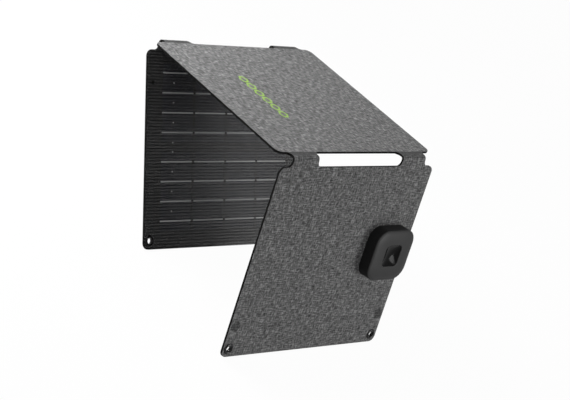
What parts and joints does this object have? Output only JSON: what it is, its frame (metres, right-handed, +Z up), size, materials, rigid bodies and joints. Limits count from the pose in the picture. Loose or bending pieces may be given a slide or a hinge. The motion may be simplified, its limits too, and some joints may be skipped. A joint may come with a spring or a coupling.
{
  "type": "folding solar charger",
  "caption": "Cloth-backed folding solar charger of hinged panels, standing open like an upturned U, with a junction box and corner eyelets.",
  "frame": {"origin": "on the floor, under the middle of the charger's box", "axes": "+X along the folds, to the right seen from the junction box's side; +Y from the front panel to the rear panel; +Z up"},
  "size_m": [0.23, 0.2908, 0.2049],
  "materials": {
    "top_cloth": "melange canvas weave",
    "cloth": "melange canvas weave",
    "board": "matte black",
    "back_sheet": "matte black",
    "cell": "dark blue-black silicon",
    "ribbon": "tinned",
    "film": "fine embossed, satin",
    "liner": "matte black weave",
    "eyelet": "black satin",
    "magnet": "nickel",
    "cable": "amber film",
    "box_black": "fine matte",
    "lid_grey": "fine matte",
    "seal": "matte",
    "smoked_window": "smoked, semi-gloss",
    "circuit_board": "solder mask",
    "board_parts": "moulded",
    "led": "clear",
    "socket_steel": "nickel",
    "screw_steel": "zinc",
    "lead": "insulated"
  },
  "bodies": {
    "middle_panel": {"middle_cloth": "top_cloth", "middle_board": "board", "middle_back_sheet": "back_sheet", "middle_cells": "cell", "middle_ribbons": "ribbon", "middle_film": "film"},
    "front_panel": {"front_cloth": "cloth", "front_board": "board", "front_back_sheet": "back_sheet", "front_cells": "cell", "front_ribbons": "ribbon", "front_film": "film", "front_eyelets": "eyelet", "front_magnets": "magnet", "box_base": "box_black", "box_lid": "lid_grey", "box_seal": "seal", "dish_window": "smoked_window", "circuit_board": "circuit_board", "board_parts": "board_parts", "status_led": "led", "charging_sockets": "socket_steel", "lid_screws": "screw_steel", "panel_leads": "lead"},
    "rear_panel": {"rear_cloth": "cloth", "rear_board": "board", "rear_back_sheet": "back_sheet", "rear_cells": "cell", "rear_ribbons": "ribbon", "rear_film": "film", "rear_eyelets": "eyelet", "rear_magnets": "magnet"},
    "front_band": {"front_band_cloth": "cloth", "front_band_core": "board", "front_band_liner": "liner", "front_band_cable": "cable"},
    "rear_band": {"rear_band_cloth": "cloth", "rear_band_core": "board", "rear_band_liner": "liner", "rear_band_cable": "cable"}
  },
  "joints": [
    {"name": "front_band_fold", "type": "hinge", "parent": "middle_panel", "child": "front_band", "pos_m": [0, -0.0702, 0.20378], "axis": [1, 0, 0], "range_deg": [-40.5, 18.5]},
    {"name": "front_panel_fold", "type": "hinge", "parent": "front_band", "child": "front_panel", "pos_m": [0, -0.0787, 0.19863], "axis": [1, 0, 0], "range_deg": [-40.5, 18.5]},
    {"name": "rear_band_fold", "type": "hinge", "parent": "middle_panel", "child": "rear_band", "pos_m": [0, 0.14175, 0.16907], "axis": [-1, 0, 0], "range_deg": [-60.5, 29.5]},
    {"name": "rear_panel_fold", "type": "hinge", "parent": "rear_band", "child": "rear_panel", "pos_m": [0, 0.14421, 0.16238], "axis": [-1, 0, 0], "range_deg": [-60.5, 29.5]}
  ],
  "couplings": [
    {"joint": "front_band_fold", "follows": "front_panel_fold", "ratio": 1},
    {"joint": "rear_band_fold", "follows": "rear_panel_fold", "ratio": 1}
  ]
}
